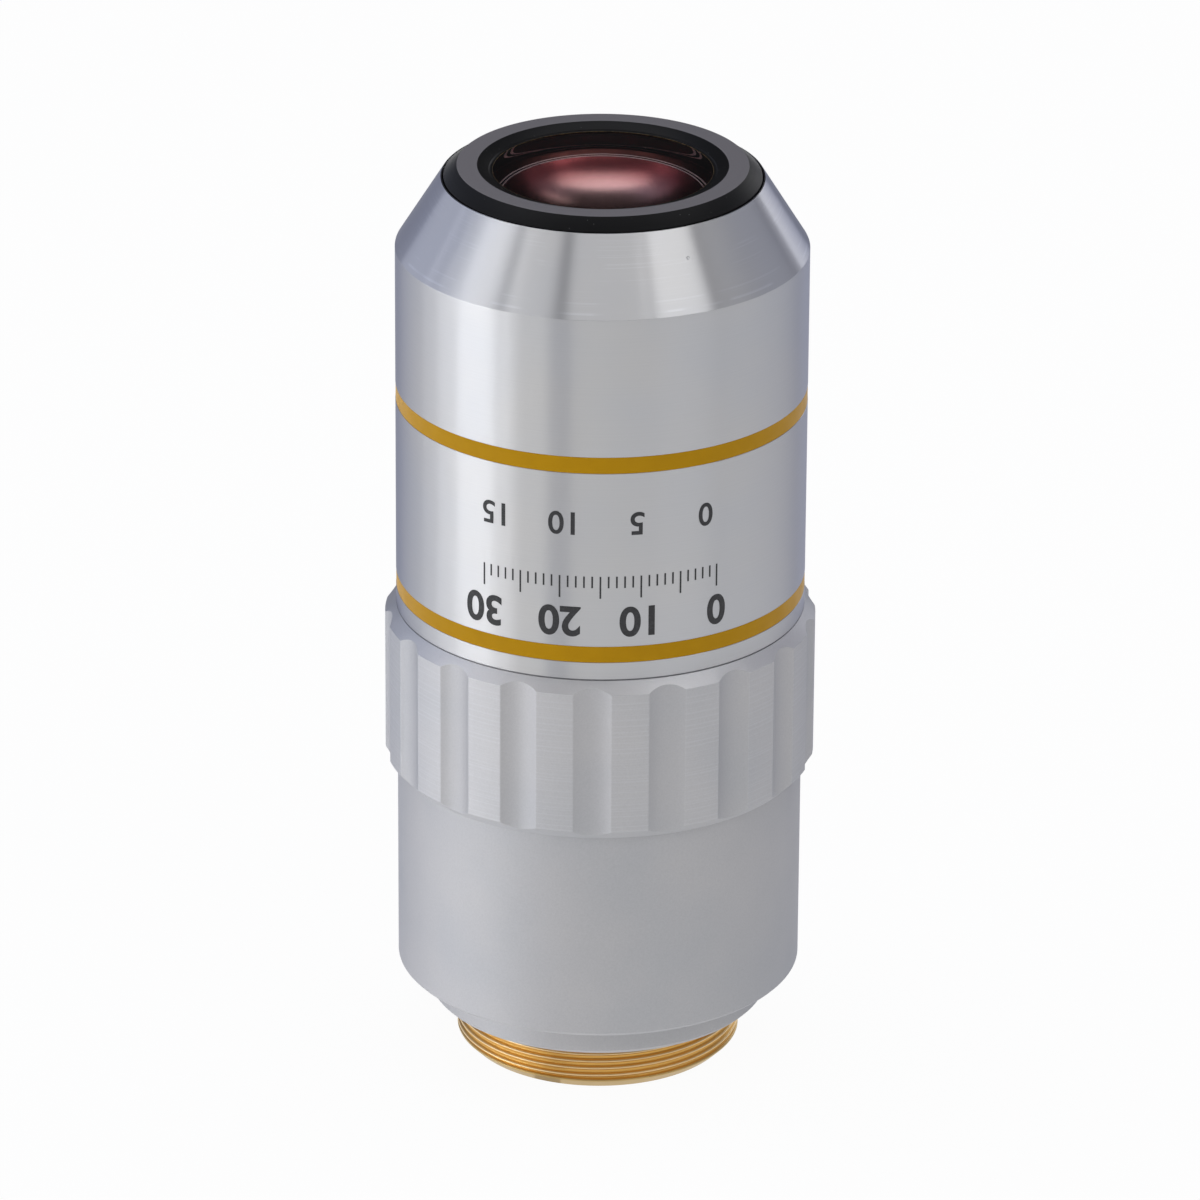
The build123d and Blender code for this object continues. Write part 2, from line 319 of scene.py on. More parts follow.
def makeBlackAnodised(name, look):
    finish = Finish(name)
    place, z, radius = finish.shape()
    turnedLines = finish.lines(radius + z, look["linesPerMm"])
    grain = finish.grain(place, look["grainPerMm"])
    flat = finish.step(z, *[cell.high - depth for depth in look["faceDepths"]])
    specks = finish.node("ShaderNodeTexVoronoi", {}, {"Vector": place, "Scale": look["dustPerMm"]})
    dust = finish.step(specks, *look["dustSize"]) * look["dustShare"]
    black = finish.blend(dust, look["colour"], look["dust"])
    # painted glint: a thin gold ring at the lip's edge, patchy by the grain
    lip = finish.step(radius, look["glintRadius"], look["glintRadius"] - look["glintWidth"])
    black = finish.blend(lip * finish.step(grain, *look["wearAndGlintRange"]), black, look["wearAndGlint"])
    least, added = look["faceMottle"]
    rough = look["roughness"] + flat * (look["faceRoughness"] - look["roughness"])
    return finish.surface({
        # the front face's lighter colour is partly its blasted finish and partly painted sheen
        "Base Color": finish.blend(flat * (least + grain * added), black, look["face"]),
        "Roughness": rough + (turnedLines - 0.5) * look["spread"],
        "Specular IOR Level": look["shine"],
        "Normal": finish.bump(turnedLines * (1 - flat) + grain * flat, look["depth"]),
    })


threadForm = {
    "pitch": 25.4 / 36,
    "depth": 0.29,
    "crestShare": 0.14,
    "rootShare": 0.36,
    "frontCrest": -1.95,      # height of one crest on the printed side
    "rowsPerTurn": 16,
    "columns": 240,
    "tipRadius": 12.05,
    "relief": 0.35,
    "land": 1.1,              # smooth end, with the chamfer on it
    "runOut": 0.15,
}
bareBrass = {
    # crest and root colours are painted light: a painted highlight on the crests, painted shade in the
    # roots
    "crest": (0.80, 0.59, 0.31, 1),
    "crestDepths": (0.6, 0.1),             # where the crest's colour begins, in thread depths
    "crestMottle": (0.75, 0.5),            # least share of a colour, and how much the mottle adds
    "root": (0.64, 0.365, 0.095, 1),
    "land": (0.52, 0.365, 0.15, 1),
    "landMottle": (0.85, 0.3),
    "roughness": 0.36,
    "spread": 0.2,
    "mottlePerMm": 0.8,
    "grainPerMm": 9.0,
    "grainDepth": 0.003,
}


def makeBareBrass(name, look, form):
    finish = Finish(name)
    place, z, radius = finish.shape()
    mottle = finish.grain(place, look["mottlePerMm"], detail=3.0)
    # painted highlight on the crests and painted shade in the roots, set by radius
    crest = finish.step(radius, *[thread.radius - share * form["depth"] for share in look["crestDepths"]])
    landTop = thread.low + form["land"]
    land = finish.step(z, landTop, landTop - form["runOut"])
    least, added = look["crestMottle"]
    ridged = finish.blend(crest * (least + mottle * added), look["root"], look["crest"])
    least, added = look["landMottle"]
    return finish.surface({
        "Base Color": finish.blend(land * (least + mottle * added), ridged, look["land"]),
        "Metallic": 1.0,
        "Roughness": look["roughness"] + (mottle - 0.5) * look["spread"],
        "Normal": finish.bump(finish.grain(place, look["grainPerMm"]), look["grainDepth"]),
    })


innerBlack = {
    "colour": (0.012, 0.012, 0.012, 1),
    "wearAndGlint": (0.03, 0.028, 0.026, 1),
    "wornPerMm": 1.5,
    "wearAndGlintRange": (0.4, 0.75),
    "roughness": 0.7,
    "spread": 0.2,
    "linesPerMm": 6.0,
    "lineDepth": 0.01,
}


def makeInnerBlack(name, look):
    finish = Finish(name)
    place, z, radius = finish.shape()
    cloudy = finish.grain(place, look["wornPerMm"], detail=3.0)
    return finish.surface({
        "Base Color": finish.blend(finish.step(cloudy, *look["wearAndGlintRange"]), look["colour"], look["wearAndGlint"]),
        "Roughness": look["roughness"] + (cloudy - 0.5) * look["spread"],
        "Normal": finish.bump(finish.lines(z + radius, look["linesPerMm"]), look["lineDepth"]),
    })


ochreEnamel = {
    "colour": (0.50, 0.262, 0.0, 1),
    "deep": (0.44, 0.225, 0.0, 1),
    "deepPerMm": 0.7,
    "roughness": 0.42,
    "spread": 0.15,
    "shine": 0.13,
    "grainPerMm": 3.0,
    "grainDepth": 0.004,
}


def makeOchreEnamel(name, look):
    finish = Finish(name)
    place = finish.place()
    cloudy = finish.grain(place, look["deepPerMm"])
    return finish.surface({
        "Base Color": finish.blend(cloudy, look["colour"], look["deep"]),
        "Roughness": look["roughness"] + (cloudy - 0.5) * look["spread"],
        "Specular IOR Level": look["shine"],
        "Normal": finish.bump(finish.grain(place, look["grainPerMm"]), look["grainDepth"]),
    })


coatedGlass = {
    "clear": (1.0, 0.93, 0.92, 1),
    "frontReflection": (0.30, 0.16, 0.26, 1),
    "coating": (0.93, 0.34, 0.34, 1),      # inner surfaces mirror this colour and let it through
    "coatingShare": 0.28,
    "coatingFrom": (1.0, 1.2),             # below the front lens's top
    "index": 1.46,
    "reflects": 0.12,                      # coated against reflections
    "bowl": (0.52, 0.33, 0.32, 1),         # the front lens's rear surface, strongly coated
    # painted reflection: the bowl fades from its pink middle to this darker edge
    "bowlEdge": (0.17, 0.04, 0.045, 1),
    "bowlFade": (2.0, 8.0),
    "bowlSoft": 0.2,
    "bowlRoughness": 0.22,
    "wall": 10.3,
    "paint": (0.06, 0.020, 0.018, 1),      # painted edge, from the inner ring outwards
    "ring": (0.50, 0.42, 0.43, 1),         # two fine rings at the lock ring's edge, seen through the glass: a painted highlight
    "ringRadii": (8.88, 9.18),
    "ringWidth": 0.09,
    "ringRoughness": 0.35,
    "edgeSoft": 0.04,
    "paintSoft": 0.03,
    "smearPerMm": 0.5,
    "smearRange": (0.45, 0.9),
    "smearRoughness": 0.02,
}


def makeCoatedGlass(name, look):
    # clear at the front and the wall, where the light falls on a coated bowl with a painted edge
    finish = Finish(name)
    place, z, radius = finish.shape()
    smear = finish.step(finish.grain(place, look["smearPerMm"], detail=3.0), *look["smearRange"])
    outer, inside = [frontLens.high - depth for depth in look["coatingFrom"]]
    inner = finish.step(z, outer, inside)
    bowl = finish.band(z, frontLens.low, inside, look["bowlSoft"])
    bowl = bowl * finish.step(radius, look["wall"] + look["edgeSoft"], look["wall"])
    # painted highlight: two light rings where the lock ring's edge shows through
    half = look["ringWidth"] / 2
    near, far = [finish.band(radius, middle - half, middle + half, look["edgeSoft"])
                 for middle in look["ringRadii"]]
    rings = near + far
    # painted falloff of the bowl's reflection, darker towards the edge
    fading = finish.blend(finish.step(radius, *look["bowlFade"]), look["bowl"], look["bowlEdge"])
    paintFrom = look["ringRadii"][0]
    edge = finish.step(radius, paintFrom, paintFrom + look["paintSoft"])
    bowlColour = finish.blend(rings, finish.blend(edge, fading, look["paint"]), look["ring"])
    clear = finish.blend(inner, look["clear"], look["coating"])
    polish = smear * look["smearRoughness"]
    ground = look["bowlRoughness"] + rings * look["ringRoughness"]
    return finish.surface({
        "Base Color": finish.blend(bowl, clear, bowlColour),
        "Metallic": inner * look["coatingShare"] * (1 - bowl) + bowl,
        "Transmission Weight": 1.0,
        "IOR": look["index"],
        "Specular IOR Level": look["reflects"],
        "Specular Tint": look["frontReflection"],
        "Roughness": polish + bowl * ground,
    })


steelScrew = {"colour": (0.5, 0.5, 0.52, 1), "roughness": 0.35, "spread": 0.3, "wornPerMm": 2.0}


def makeSteelScrew(name, look):
    finish = Finish(name)
    wearAndGlint = finish.grain(finish.place(), look["wornPerMm"])
    return finish.surface({
        "Base Color": look["colour"],
        "Metallic": 1.0,
        "Roughness": look["roughness"] + (wearAndGlint - 0.5) * look["spread"],
    })


blackPrint = {
    "colour": (0.016, 0.016, 0.018, 1),
    "faded": (0.04, 0.04, 0.044, 1),
    "fadedPerMm": 4.0,
    "fadedRange": (0.45, 0.8),
    "roughness": 0.5,
    "spread": 0.2,
}


def makeBlackPrint(name, look):
    finish = Finish(name)
    patchy = finish.grain(finish.place(), look["fadedPerMm"], detail=3.0)
    return finish.surface({
        "Base Color": finish.blend(finish.step(patchy, *look["fadedRange"]), look["colour"], look["faded"]),
        "Roughness": look["roughness"] + (patchy - 0.5) * look["spread"],
    })


finishes = {
    "satin_chrome": makeSatinChrome("satinChrome", satinChrome, sleeve.high - coneLength),
    "matte_chrome": makeMatteChrome("matteChrome", matteChrome),
    "black_anodised": makeBlackAnodised("blackAnodised", blackAnodised),
    "bare_brass": makeBareBrass("bareBrass", bareBrass, threadForm),
    "inner_black": makeInnerBlack("innerBlack", innerBlack),
    "ochre_enamel": makeOchreEnamel("ochreEnamel", ochreEnamel),
    "coated_glass": makeCoatedGlass("coatedGlass", coatedGlass),
    "steel_screw": makeSteelScrew("steelScrew", steelScrew),
}
printInk = makeBlackPrint("blackPrint", blackPrint)
print("finishes made:", len(finishes) + 1)

slotOf = {part["node"]: part["material_slot"] for part in frame["record"]["subparts"]}
for node, part in frame["nodes"].items():
    for slot in part.material_slots:
        slot.material = finishes[slotOf[node]]


# Turned pieces

def rounded(corners, steps=4, most=0.45):
    # corners are (radius, height, rounding), and a rounded one becomes a short arc, which takes at
    # most that share of each side
    path = []
    for k, (r, z, rounding) in enumerate(corners):
        here = Vector((r, z))
        if not rounding:
            path.append(here)
            continue
        back = Vector(corners[k - 1][:2]) - here
        ahead = Vector(corners[(k + 1) % len(corners)][:2]) - here
        half = back.angle(ahead) / 2
        reach = min(rounding / tan(half), most * back.length, most * ahead.length)
        centre = here + (back.normalized() + ahead.normalized()).normalized() * (reach / cos(half))
        start = here + back.normalized() * reach - centre
        end = here + ahead.normalized() * reach - centre
        for step in range(steps + 1):
            share = step / steps
            spoke = start * (1 - share) + end * share
            path.append(centre + spoke.normalized() * start.length)
    return path


def columnAt(angle, path):
    return [(r * cos(angle), r * sin(angle), z) for r, z in path]


def woven(columns):
    # closed outlines with as many points each, joined all the way round the axis
    count = len(columns[0])
    faces = []
    for c in range(len(columns)):
        here = c * count
        there = (c + 1) % len(columns) * count
        for k in range(count):
            after = (k + 1) % count
            faces.append((here + k, there + k, there + after, here + after))
    return [vertex for column in columns for vertex in column], faces


def finishPiece(name, skin, node, slotName, weld=0.0008, sliver=0.0004):
    vertices, faces = skin
    mesh = bpy.data.meshes.new(name)
    mesh.from_pydata([(x * mm, y * mm, z * mm) for x, y, z in vertices], [], faces)
    work = bmesh.new()
    work.from_mesh(mesh)
    bmesh.ops.remove_doubles(work, verts=work.verts, dist=weld * mm)
    bmesh.ops.dissolve_degenerate(work, edges=work.edges, dist=sliver * mm)
    bmesh.ops.recalc_face_normals(work, faces=work.faces)
    work.to_mesh(mesh)
    work.free()
    for face in mesh.polygons:
        face.use_smooth = True
    mesh.materials.append(finishes[slotName])
    obj = bpy.data.objects.new(name, mesh)
    bpy.context.scene.collection.objects.link(obj)
    shading = obj.modifiers.new("steadyShading", "WEIGHTED_NORMAL")
    shading.keep_sharp = True
    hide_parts(node)
    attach(obj, "root")


def turned(name, path, node, slotName, segments=288):
    # closed outline spun about the axis
    columns = [columnAt(2 * pi * s / segments, path) for s in range(segments)]
    finishPiece(name, woven(columns), node, slotName)


housing = {
    "edge": 0.06,
    "mouthEdge": 0.03,
    "flangeEdge": 0.1,
    "footEdge": 0.15,
    "seatEdge": 0.04,
    "break": 0.3,
    "shoulder": 15.0,
    "shoulderChamfer": 0.4,
    "flangeHeight": 3.25,
    "mouth": 13.03,
    "bushHole": 12.03,
    "spigotBore": 16.05,
    "spigotRadius": 17.3,
    "stopFit": 0.02,
    "floorStep": 1.0,            # the floor's bore inside the stop
}


def makeRearHousing(h):
    body = span("rear_housing")
    radius = body.radius
    flange = h["shoulder"] + h["shoulderChamfer"]
    recess = stop.radius + h["stopFit"]
    floorBore = stop.radius - h["floorStep"]
    path = rounded([
        (h["bushHole"], h["mouth"] - h["bushHole"], 0),
        (h["mouth"], body.low, h["mouthEdge"]),
        (h["shoulder"], body.low, h["edge"]),
        (flange, h["shoulderChamfer"], h["edge"]),
        (flange, h["flangeHeight"], h["flangeEdge"]),
        (radius - h["break"], h["flangeHeight"], h["edge"]),
        (radius, h["flangeHeight"] + h["break"], h["footEdge"]),
        (radius, ring.low, h["seatEdge"]),
        (h["spigotRadius"], ring.low, 0),
        (h["spigotRadius"], body.high, h["edge"]),
        (h["spigotBore"], body.high, 0),
        (h["spigotBore"], stop.high, 0),
        (recess, stop.high, 0),
        (recess, stop.low, 0),
        (floorBore, stop.low, 0),
        (floorBore, thread.high, 0),
        (h["bushHole"], thread.high, 0),
    ])
    turned("rearHousing", path, "rear_housing", "matte_chrome")


gripRing = {
    "flutes": 18,
    "fluteDegrees": 10.0,
    "depth": 0.5,
    "firstFlute": -91.9,
    "chamfer": ringChamfer,
    "bore": 17.33,
    "edge": 0.07,
    "footEdge": 0.04,
    "fluteEdge": 0.05,
    # columns of one flute and its land, in degrees from the flute's middle
    "offsets": (-5.4, -5.2, -5.08, -5.0, -4.92, -4.8, -4.5, -4.0, -3.3, -2.5, -1.7, -0.8,
                0, 0.8, 1.7, 2.5, 3.3, 4.0, 4.5, 4.8, 4.92, 5.0, 5.08, 5.2, 5.4,
                6.5, 8.0, 9.5, 11.0, 12.5, 13.6),
}


def makeGripRing(g):
    # every column is its own outline, because the flutes cut into both chamfers
    halfWidth = ring.radius * sin(radians(g["fluteDegrees"] / 2))
    depth = g["depth"] - ring.radius * (1 - cos(radians(g["fluteDegrees"] / 2)))
    cutter = (halfWidth ** 2 + depth ** 2) / (2 * depth)
    cutterPlace = ring.radius - g["depth"] + cutter
    pitch = 360 / g["flutes"]
    foot = ring.radius - g["chamfer"]

    def wallAt(offset):
        # radius of the flute, with a rounded edge towards the land
        spread = abs(radians(offset if offset <= pitch / 2 else offset - pitch))
        reach = cutterPlace * sin(spread)
        if reach >= cutter:
            return ring.radius
        cut = cutterPlace * cos(spread) - sqrt(cutter ** 2 - reach ** 2)
        near = max(g["fluteEdge"] - abs(cut - ring.radius), 0)
        return min(cut, ring.radius) - near * near / (4 * g["fluteEdge"])

    columns = []
    for flute in range(g["flutes"]):
        for offset in g["offsets"]:
            wall = wallAt(offset)
            rise = wall - foot
            path = rounded([
                (g["bore"], ring.low, 0),
                (foot, ring.low, g["footEdge"]),
                (wall, ring.low + rise, g["edge"]),
                (wall, ring.high - rise, g["edge"]),
                (foot, ring.high, g["footEdge"]),
                (g["bore"], ring.high, 0),
            ])
            columns.append(columnAt(radians(g["firstFlute"] + flute * pitch + offset), path))
    finishPiece("gripRing", woven(columns), "grip_ring", "matte_chrome")


frontSleeve = {
    "counterbore": 17.33,
    "spigotTop": 44.1,
    "bore": 16.05,
    "shoulderDepth": 5.9,
    "hole": 14.2,
    "land": 0.15,
    "cone": coneLength,
    "footRelief": 0.15,
    "grooveDepth": 0.2,
    "edge": 0.04,
    "footEdges": (0.03, 0.05),
    "coneEdge": 0.12,
}
bands = {"lower_colour_band": "lowerColourBand", "upper_colour_band": "upperColourBand"}
bandEdge = 0.03
cement = 0.01                # enamel inside the groove's walls


def makeFrontSleeve(f):
    groove = sleeve.radius - f["grooveDepth"]
    inner, outer = f["footEdges"]
    corners = [
        (f["counterbore"], sleeve.low, 0),
        (sleeve.radius - f["footRelief"], sleeve.low, inner),
        (sleeve.radius, sleeve.low + f["footRelief"], outer),
    ]
    for node in bands:
        enamel = span(node)
        corners += [
            (sleeve.radius, enamel.low - cement, f["edge"]),
            (groove, enamel.low - cement, 0),
            (groove, enamel.high + cement, 0),
            (sleeve.radius, enamel.high + cement, f["edge"]),
        ]
    corners += [
        (sleeve.radius, sleeve.high - f["cone"], f["coneEdge"]),
        (f["hole"] + f["land"], sleeve.high, f["edge"]),
        (f["hole"], sleeve.high, f["edge"]),
        (f["hole"], sleeve.high - f["shoulderDepth"], 0),
        (f["bore"], sleeve.high - f["shoulderDepth"], 0),
        (f["bore"], f["spigotTop"], 0),
        (f["counterbore"], f["spigotTop"], 0),
    ]
    turned("frontSleeve", rounded(corners), "front_sleeve", "satin_chrome")


def makeColourBand(node, name):
    enamel = span(node)
    inner = sleeve.radius - frontSleeve["grooveDepth"] + cement
    path = rounded([
        (inner, enamel.low, 0),
        (enamel.radius, enamel.low, bandEdge),
        (enamel.radius, enamel.high, bandEdge),
        (inner, enamel.high, 0),
    ])
    turned(name, path, node, "ochre_enamel")


frontCell = {
    "rimBevelWidth": 1.2,
    "rimBevelDrop": 1.0,
    "faceWidth": 1.73,
    "bevelWidth": 1.07,
    "bevelDrop": 0.47,
    "ledge": 0.05,
    "seatDrop": 0.55,
    "openingRadius": 9.75,
    "skirt": 13.58,
    "glassFit": 0.02,
    "edge": 0.05,
    "lipEdge": 0.03,
}


def makeFrontCell(c):
    face = cell.radius - c["rimBevelWidth"]
    faceBore = face - c["faceWidth"]
    ledge = faceBore - c["bevelWidth"]
    lip = cell.high - c["bevelDrop"]
    seat = cell.high - c["seatDrop"]
    firstBore = frontLens.radius + c["glassFit"]
    secondBore = secondLens.radius + c["glassFit"]
    step = secondLens.high + c["glassFit"]
    path = rounded([
        (c["openingRadius"], lip - c["ledge"], c["lipEdge"]),
        (ledge, lip - c["ledge"], 0),
        (ledge, lip, c["lipEdge"]),
        (faceBore, cell.high, c["edge"]),
        (face, cell.high, c["edge"]),
        (cell.radius, cell.high - c["rimBevelDrop"], c["edge"]),
        (cell.radius, barrel.high, 0),
        (c["skirt"], barrel.high, 0),
        (c["skirt"], cell.low, 0),
        (secondBore, cell.low, 0),
        (secondBore, step, 0),
        (firstBore, step, 0),
        (firstBore, seat, 0),
        (c["openingRadius"], seat, 0),
    ])
    turned("frontCell", path, "front_cell", "black_anodised")


# Spheres' radii of the lenses that show, front and rear, positive where they bulge to the front
glass = {
    "front_lens": (150.0, -17.5),
    "second_lens": (-70.0, -24.0),
    "first_doublet_crown": (45.0, -26.0),
}
glassSegments = 192


def sphereDrop(curve, r):
    # how far a sphere falls back from its vertex at a distance from the axis
    return abs(curve) - sqrt(curve * curve - r * r)


def sphereArc(curve, vertexHeight, edge, steps=20):
    # points from the axis to the edge
    side = 1 if curve > 0 else -1
    distances = [edge * step / steps for step in range(steps + 1)]
    return [Vector((r, vertexHeight - side * sphereDrop(curve, r))) for r in distances]


def makeGlass(node, curves):
    lens = span(node)
    front, rear = curves
    frontVertex = lens.high if front > 0 else lens.high - sphereDrop(front, lens.radius)
    rearVertex = lens.low if rear < 0 else lens.low + sphereDrop(rear, lens.radius)
    path = sphereArc(front, frontVertex, lens.radius) + sphereArc(rear, rearVertex, lens.radius)[::-1]
    turned(node + "_polished", path, node, "coated_glass", glassSegments)


def threadSkin(t):
    # rows follow the helix, so the crests stay sharp, and both ends are cut off square
    top = -t["relief"]
    rowHeight = t["pitch"] / t["rowsPerTurn"]
    rows = int((top - thread.low) / rowHeight) + 2 * t["rowsPerTurn"]
    start = thread.low - t["pitch"]
    flanks = 1 - t["crestShare"] - t["rootShare"]

    def radiusAt(height, turn):
        along = height / t["pitch"] - turn - t["frontCrest"] / t["pitch"]
        phase = abs(along % 1 - 0.5) * 2      # 1 at a crest
        share = (phase - t["rootShare"]) / flanks
        radius = thread.radius - t["depth"] * (1 - min(max(share, 0), 1))
        plain = min(max((thread.low + t["land"] - height) / t["runOut"], 0), 1)
        radius += (thread.radius - radius) * plain
        return min(radius, t["tipRadius"] + height - thread.low)

    vertices = []
    for row in range(rows + 1):
        for column in range(t["columns"]):
            turn = column / t["columns"]
            height = start + row * rowHeight + t["pitch"] * turn
            height = min(max(height, thread.low), top)
            vertices += columnAt(2 * pi * turn - pi / 2, [(radiusAt(height, turn), height)])
    faces = []
    for row in range(rows):
        for column in range(t["columns"]):
            here = row * t["columns"] + column
            ahead = here + 1
            if column + 1 == t["columns"]:
                # round the back, where the helix has climbed by one pitch
                ahead += (t["rowsPerTurn"] - 1) * t["columns"]
            if ahead + t["columns"] < len(vertices):
                faces.append((here, ahead, ahead + t["columns"], here + t["columns"]))
    return vertices, faces


bush = {"spigot": 12.0, "bore": 10.4, "boreChamfer": 0.5, "edge": 0.04}


def makeBush(b, t):
    # thread with the plain bush inside it
    vertices, faces = threadSkin(t)
    path = rounded([
        (t["tipRadius"], thread.low, 0),
        (b["bore"] + b["boreChamfer"], thread.low, b["edge"]),
        (b["bore"], thread.low + b["boreChamfer"], b["edge"]),
        (b["bore"], thread.high, 0),
        (b["spigot"], thread.high, 0),
        (b["spigot"], -t["relief"], 0),
    ])
    columns = t["columns"]
    base = len(vertices)
    topRow = base - columns
    last = len(path) - 1
    for s in range(columns):
        vertices += columnAt(2 * pi * s / columns - pi / 2, path)
    for s in range(columns):
        here = base + s * len(path)
        there = base + (s + 1) % columns * len(path)
        faces += [(here + k, there + k, there + k + 1, here + k + 1) for k in range(last)]
        faces.append((here + last, there + last, topRow + (s + 1) % columns, topRow + s))
    finishPiece("mountingThread", (vertices, faces), "mounting_thread", "bare_brass")


makeRearHousing(housing)
makeGripRing(gripRing)
makeFrontSleeve(frontSleeve)
for bandNode, bandName in bands.items():
    makeColourBand(bandNode, bandName)
makeFrontCell(frontCell)
for lensNode, lensCurves in glass.items():
    makeGlass(lensNode, lensCurves)
makeBush(bush, threadForm)
print("turned pieces made")


# Print on the barrel: a plain graduated scale, read with the thread up

scalePrint = {
    "lift": 0.012,
    "bisect": 0.4,
    "weld": 0.002,
    "sliver": 0.001,
    "numberRow": {
        "height": 44.1,
        "size": 2.7,
        "labels": ("0", "10", "20", "30"),
        "degrees": 22.5,
        "weight": 0.026,
    },
    "countRow": {
        "height": 53.4,
        "size": 2.1,
        "labels": ("0", "5", "10", "15"),
        "degrees": 20.0,
        "weight": 0.014,
    },
    "ticks": {
        "height": 48.3,
        "count": 31,
        "degrees": 2.25,
        "short": 1.1,
        "long": 2.1,
        "longEvery": 5,
        "width": 0.16,
    },
}
capHeight = 0.7              # height of a digit in the font, for a size of one metre


def labelMesh(text, row):
    # filled at one metre, where small counters stay open, then brought to size
    curve = bpy.data.curves.new("label", "FONT")
    curve.body = text
    curve.align_x = "CENTER"
    curve.align_y = "CENTER"
    curve.offset = row["weight"]
    obj = bpy.data.objects.new("label", curve)
    bpy.context.scene.collection.objects.link(obj)
    bpy.context.view_layer.update()
    mesh = bpy.data.meshes.new_from_object(obj.evaluated_get(bpy.context.evaluated_depsgraph_get()))
    bpy.data.objects.remove(obj)
    mesh.transform(Matrix.Scale(row["size"] / capHeight * mm, 4))
    return mesh


def wrapOn(work, degreesOut, height, radius, bisect):
    # flat shapes near the origin, turned half round and laid on the barrel
    width = max(abs(v.co.x) for v in work.verts) + bisect * mm
    cuts = int(width / (bisect * mm))
    for k in range(-cuts, cuts + 1):
        everything = work.verts[:] + work.edges[:] + work.faces[:]
        bmesh.ops.bisect_plane(work, geom=everything, plane_co=(k * bisect * mm, 0, 0), plane_no=(1, 0, 0))
    for vertex in work.verts:
        angle = radians(degreesOut - 90) - vertex.co.x / (radius * mm)
        vertex.co = (radius * mm * cos(angle), radius * mm * sin(angle), height * mm - vertex.co.y)


def makePrint(p):
    radius = sleeve.radius + p["lift"]
    whole = bmesh.new()

    def add(work, degreesOut, height):
        wrapOn(work, degreesOut, height, radius, p["bisect"])
        piece = bpy.data.meshes.new("printed")
        work.to_mesh(piece)
        work.free()
        whole.from_mesh(piece)
        bpy.data.meshes.remove(piece)

    for row in (p["numberRow"], p["countRow"]):
        middle = (len(row["labels"]) - 1) / 2
        for k, label in enumerate(row["labels"]):
            work = bmesh.new()
            mesh = labelMesh(label, row)
            work.from_mesh(mesh)
            bpy.data.meshes.remove(mesh)
            add(work, (middle - k) * row["degrees"], row["height"])
    ticks = p["ticks"]
    middle = (ticks["count"] - 1) / 2
    half = ticks["width"] / 2 * mm
    for k in range(ticks["count"]):
        length = (ticks["short"] if k % ticks["longEvery"] else ticks["long"]) * mm
        work = bmesh.new()
        corners = [(-half, 0, 0), (half, 0, 0), (half, length, 0), (-half, length, 0)]
        work.faces.new([work.verts.new(corner) for corner in corners])
        add(work, (k - middle) * ticks["degrees"], ticks["height"])
    bmesh.ops.remove_doubles(whole, verts=whole.verts, dist=p["weld"] * mm)
    bmesh.ops.dissolve_degenerate(whole, edges=whole.edges, dist=p["sliver"] * mm)
    mesh = bpy.data.meshes.new("printedScale")
    whole.to_mesh(mesh)
    whole.free()
    obj = bpy.data.objects.new("printedScale", mesh)
    bpy.context.scene.collection.objects.link(obj)
    mesh.materials.append(printInk)
    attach(obj, "root")


makePrint(scalePrint)
print("print laid on the barrel")


# Floor, lamps and camera

white = (1, 1, 1, 1)
floorLook = {
    "size": 3.0,                 # metres
    "gap": 0.05,                 # under the thread's end
    "colour": (0.90, 0.90, 0.91, 1),
    "glow": 0.95,
    "dimmest": 0.42,
    "dimTo": 250.0,
    "dimFrom": -50.0,
    "paintedDarkBand": (-28.0, -16.5),
    "darkBandSoft": 0.8,
    "darkBandDepth": 0.6,
}


def makeFloor(look):
    # The pale floor glows in the picture. The metal mirrors it less to the right and across a dark
    # band, both painted shade on the floor's reflection.
    half = look["size"] / 2
    level = (thread.low - look["gap"]) * mm
    corners = [(-half, -half, level), (half, -half, level), (half, half, level), (-half, half, level)]
    mesh = bpy.data.meshes.new("floor")
    mesh.from_pydata(corners, [], [(0, 1, 2, 3)])
    obj = bpy.data.objects.new("floor", mesh)
    bpy.context.scene.collection.objects.link(obj)
    finish = Finish("paleFloor")
    x, y = finish.axes(finish.place(), "X", "Y")
    path = finish.node("ShaderNodeLightPath")
    camera, glossy, through = finish.outputs(path, "Is Camera Ray", "Is Glossy Ray", "Is Transmission Ray")
    # painted shade: the floor, as the metal mirrors it, dims towards the right
    lit = look["dimmest"] + finish.step(x, look["dimTo"], look["dimFrom"]) * (1 - look["dimmest"])
    around = finish.node("ShaderNodeMath", {"operation": "ARCTAN2"}, {0: x, 1: -y})
    # painted dark band in the floor's reflection
    paintedDarkBand = finish.band(around, *[radians(side) for side in look["paintedDarkBand"]], radians(look["darkBandSoft"]))
    mirrored = (glossy + through) * lit * (1 - paintedDarkBand * look["darkBandDepth"])
    seen = finish.node("ShaderNodeMath", {"operation": "MAXIMUM"}, {0: camera, 1: mirrored})
    glow = finish.node("ShaderNodeEmission", {}, {"Color": white, "Strength": 1.0})
    matte = finish.node("ShaderNodeBsdfDiffuse", {}, {"Color": look["colour"]})
    mixed = finish.node("ShaderNodeMixShader", {}, {0: seen * look["glow"], 1: matte, 2: glow})
    finish.node("ShaderNodeOutputMaterial", {}, {"Surface": mixed})
    mesh.materials.append(finish.owner)


makeFloor(floorLook)

studioLook = {
    "front": (0.33, 0.33, 0.345, 1),
    "frontTurn": (-0.3, 0.4),
    "left": (0.47, 0.505, 0.65, 1),
    "right": (0.28, 0.285, 0.34, 1),
    "sideTurn": (0.7, -0.7),
    "card": (0.035, 0.035, 0.037, 1),      # dark card that the lens mirrors
    "cardElevation": 27.0,
    "cardAngles": (38.0, 22.0),
}


